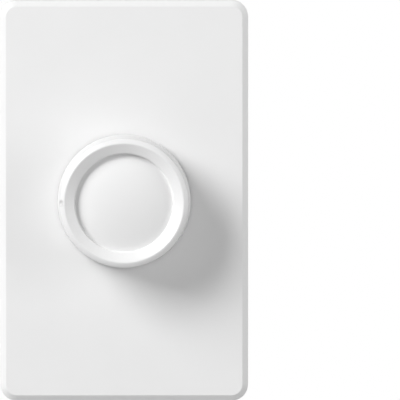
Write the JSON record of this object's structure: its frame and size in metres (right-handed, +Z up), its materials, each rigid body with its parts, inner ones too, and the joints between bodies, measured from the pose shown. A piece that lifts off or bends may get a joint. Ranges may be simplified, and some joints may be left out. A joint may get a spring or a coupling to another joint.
{
  "type": "rotary fan speed control",
  "caption": "Wall-mounted rotary fan speed control: a bevelled rectangular faceplate with a dished round knob, on a heat-sink yoke with its electronics in a back housing.",
  "frame": {"origin": "on the wall's surface, on the knob's axis, midway between the two box screws", "axes": "+Z up, +X to the viewer's right, +Y into the wall; the knob faces -Y"},
  "size_m": [0.0708, 0.0498, 0.1142],
  "materials": {
    "white_plastic": "satin moulded",
    "knob_plastic": "satin moulded",
    "spring_steel": "bright",
    "zinc_metal": "zinc plated",
    "yoke_aluminium": "mill finish",
    "screw_steel": "zinc plated",
    "fibre": "vulcanised fibre",
    "ground_green": "green plated",
    "black_plastic": "moulded",
    "phenolic": "phenolic board",
    "carbon": "carbon ink",
    "brass_metal": "stamped",
    "pad_grey": "silicone",
    "component_black": "epoxy",
    "ferrite": "sintered",
    "copper_wire": "enamelled wire",
    "capacitor_yellow": "potted box",
    "capacitor_red": "potted box",
    "resistor_body": "lacquered",
    "diode_blue": "glass bead",
    "trimmer_blue": "moulded",
    "trimmer_white": "moulded",
    "board_green": "solder mask"
  },
  "bodies": {
    "base": {"faceplate": "white_plastic", "pot_bushing": "zinc_metal", "lock_washer": "zinc_metal", "bushing_nut": "zinc_metal", "yoke": "yoke_aluminium", "box_screws": "screw_steel", "screw_retainers": "fibre", "ground_screw": "ground_green", "housing": "black_plastic", "housing_screws": "screw_steel", "insulating_sheet": "fibre", "pot_can": "zinc_metal", "track_wafer": "phenolic", "resistive_track": "carbon", "collector_ring": "brass_metal", "pot_terminals": "brass_metal", "switch_base": "phenolic", "fixed_contact": "brass_metal", "thermal_pad": "pad_grey", "triac": "component_black", "triac_rivet": "zinc_metal", "choke_core": "ferrite", "choke_winding": "copper_wire", "line_capacitor": "capacitor_yellow", "timing_capacitors": "capacitor_red", "resistors": "resistor_body", "trigger_diode": "diode_blue", "trimmer_body": "trimmer_blue", "circuit_board": "board_green"},
    "knob_and_shaft": {"knob": "knob_plastic", "knob_spring": "spring_steel", "control_shaft": "zinc_metal", "shaft_clip": "spring_steel", "pot_rotor": "phenolic", "wiper": "brass_metal"},
    "switch_toggle": {"switch_lever": "phenolic", "switch_blade": "brass_metal"},
    "trimmer": {"trimmer_rotor": "trimmer_white"}
  },
  "joints": [
    {"name": "knob_turn", "type": "hinge", "parent": "base", "child": "knob_and_shaft", "pos_m": [0, 0, 0], "axis": [0, 1, 0], "range_deg": [-60, 240]},
    {"name": "switch_flip", "type": "hinge", "parent": "base", "child": "switch_toggle", "pos_m": [0, 0.0075, -0.0102], "axis": [0, 1, 0], "range_deg": [0, 8]},
    {"name": "trimmer_turn", "type": "hinge", "parent": "base", "child": "trimmer", "pos_m": [0.0115, 0.012, -0.02215], "axis": [0, 1, 0], "range_deg": [-135, 135]}
  ]
}
